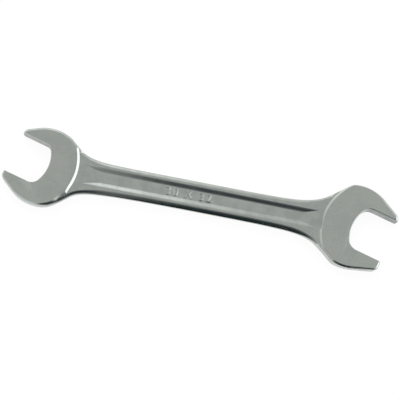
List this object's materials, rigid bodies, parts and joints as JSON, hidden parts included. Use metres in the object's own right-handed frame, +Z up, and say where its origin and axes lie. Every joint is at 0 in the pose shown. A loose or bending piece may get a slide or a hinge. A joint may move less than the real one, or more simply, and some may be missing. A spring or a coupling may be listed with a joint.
{
  "type": "open end wrench",
  "caption": "Flat double open end wrench: two jaw heads of different size, turned 15 degrees, on a straight recessed shank.",
  "frame": {"origin": "under the middle of the whole wrench, in the plane that it lies on", "axes": "+X along the shank from the small head to the large head, +Y across it, +Z up out of the upper faces"},
  "size_m": [0.2824, 0.061, 0.0105],
  "materials": {
    "satin_chrome": "chrome plate on drop-forged steel, satin on the ground head faces and smoother on the rounded edges"
  },
  "bodies": {
    "root": {"small_jaw_head": "satin_chrome", "shank": "satin_chrome", "large_jaw_head": "satin_chrome"}
  },
  "joints": []
}
